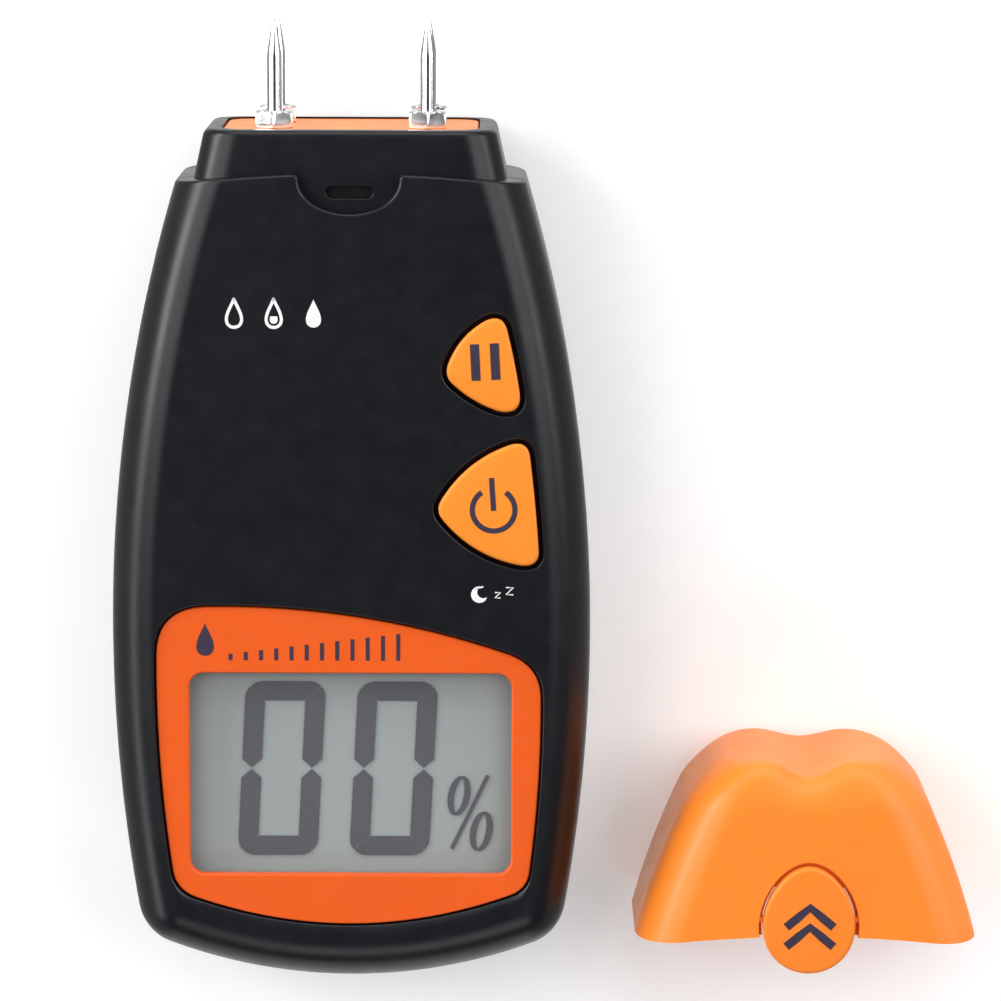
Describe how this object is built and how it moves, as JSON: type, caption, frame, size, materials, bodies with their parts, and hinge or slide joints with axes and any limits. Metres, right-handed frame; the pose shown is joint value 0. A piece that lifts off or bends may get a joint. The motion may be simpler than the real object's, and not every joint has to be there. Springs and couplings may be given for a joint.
{
  "type": "moisture meter",
  "caption": "Hand-held pin moisture meter with an orange display panel, two keys and probe needles, lying beside its orange protective cap.",
  "frame": {"origin": "centre of the footprint of the meter and its cap together, on the plane they lie on", "axes": "+X to the right of the display, +Y towards the probe needles, +Z out of the display; the backs of the meter and of the cap lie on z = 0"},
  "size_m": [0.1212, 0.1346, 0.0297],
  "materials": {
    "black_case": "fine satin texture",
    "orange_key": "semi-gloss",
    "orange_panel": "semi-gloss",
    "clear_window": "clear polycarbonate",
    "display_cell": "grey-green reflective display cell",
    "white_plastic": "matt",
    "contact_rubber": "matt",
    "board": "solder mask",
    "chip": "matt",
    "capacitor": "sleeve",
    "trimmer_blue": "matt",
    "crystal_can": "bright can",
    "resistor": "ceramic",
    "switch": "bright",
    "plunger": "matt",
    "probe_steel": "bright nickel plate",
    "contact_brass": "bright",
    "lead_white": "insulation",
    "lead_yellow": "insulation",
    "lead_red": "insulation",
    "lead_black": "insulation",
    "battery_case": "printed steel case",
    "foam": "foam pad",
    "screw": "black zinc"
  },
  "bodies": {
    "meter": {"front_shell": "black_case", "rear_shell": "black_case", "face_panel": "orange_panel", "display_window": "clear_window", "lcd_glass": "display_cell", "lcd_frame": "white_plastic", "contact_rubbers": "contact_rubber", "main_board": "board", "controller_chip": "chip", "amplifier_chips": "chip", "capacitors": "capacitor", "trimmer": "trimmer_blue", "crystal": "crystal_can", "resistors": "resistor", "hold_switch": "switch", "power_switch": "switch", "probe_plate": "orange_panel", "pin_front_left": "probe_steel", "pin_front_right": "probe_steel", "pin_rear_left": "probe_steel", "pin_rear_right": "probe_steel", "probe_nuts": "probe_steel", "inner_nuts": "probe_steel", "contact_strips": "contact_brass", "probe_lead_left": "lead_white", "probe_lead_right": "lead_yellow", "battery": "battery_case", "battery_studs": "switch", "battery_snap": "plunger", "battery_lead_red": "lead_red", "battery_lead_black": "lead_black", "battery_foam": "foam", "case_screws": "screw", "board_screws": "screw"},
    "hold_button": {"hold_key": "orange_key", "hold_plunger": "plunger"},
    "power_button": {"power_key": "orange_key", "power_plunger": "plunger"},
    "battery_cover": {"battery_door": "black_case"},
    "cap": {"cap_shell": "orange_key"},
    "latch": {"cap_latch": "orange_key"}
  },
  "joints": [
    {"name": "hold_press", "type": "slide", "parent": "meter", "child": "hold_button", "axis": [0, 0, -1], "range_m": [0, 0.0005], "stiffness_N_per_m": 2500, "springref_m": -0.0002},
    {"name": "power_press", "type": "slide", "parent": "meter", "child": "power_button", "axis": [0, 0, -1], "range_m": [0, 0.0005], "stiffness_N_per_m": 2500, "springref_m": -0.0002},
    {"name": "door_slide", "type": "slide", "parent": "meter", "child": "battery_cover", "axis": [0, -1, 0], "range_m": [0, 0.066]},
    {"name": "cap_pull", "type": "slide", "parent": "meter", "child": "cap", "axis": [0, 1, 0], "range_m": [0, 0.13]},
    {"name": "latch_tilt", "type": "hinge", "parent": "cap", "child": "latch", "pos_m": [0.0366, -0.05738, 0.0278], "axis": [-1, 0, 0], "range_deg": [0, 8], "stiffness_Nm_per_rad": 0.25, "springref_deg": -1.72}
  ]
}
